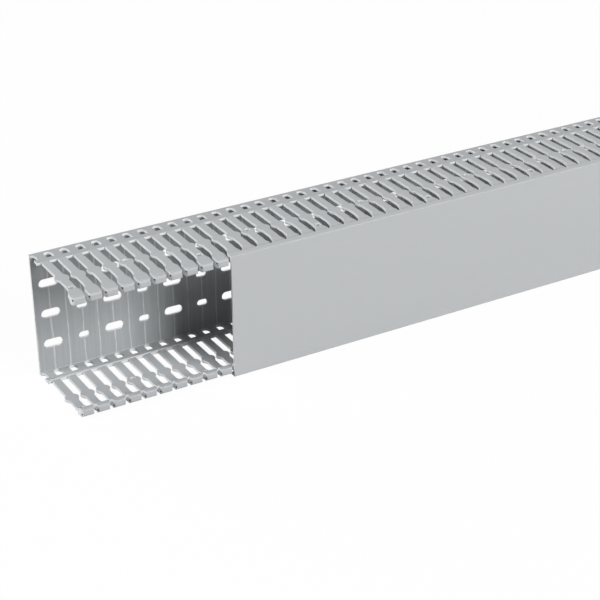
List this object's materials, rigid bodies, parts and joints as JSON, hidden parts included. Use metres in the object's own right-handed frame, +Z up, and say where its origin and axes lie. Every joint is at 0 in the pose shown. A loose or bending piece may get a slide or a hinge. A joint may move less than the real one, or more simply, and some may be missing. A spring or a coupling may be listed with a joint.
{
  "type": "slotted wire duct",
  "caption": "Rectangular slotted cable trunking with finger side walls, a punched mounting base and a clip-on cover that slides along it.",
  "frame": {"origin": "middle of the bottom of the part's box, in the stored pose with the cover slid along", "axes": "+X along the duct, towards the end that the cover overhangs, +Y from the cover to the mounting base, +Z up, across the duct's width"},
  "size_m": [1.124, 0.08, 0.1],
  "materials": {
    "duct_pvc": "satin extruded rigid PVC, light grey",
    "cover_pvc": "satin extruded rigid PVC, light grey"
  },
  "bodies": {
    "duct": {"duct_body": "duct_pvc"},
    "cover": {"cover": "cover_pvc"}
  },
  "joints": [
    {"name": "cover_slide", "type": "slide", "parent": "duct", "child": "cover", "axis": [1, 0, 0], "range_m": [-0.124, 0.826]}
  ]
}
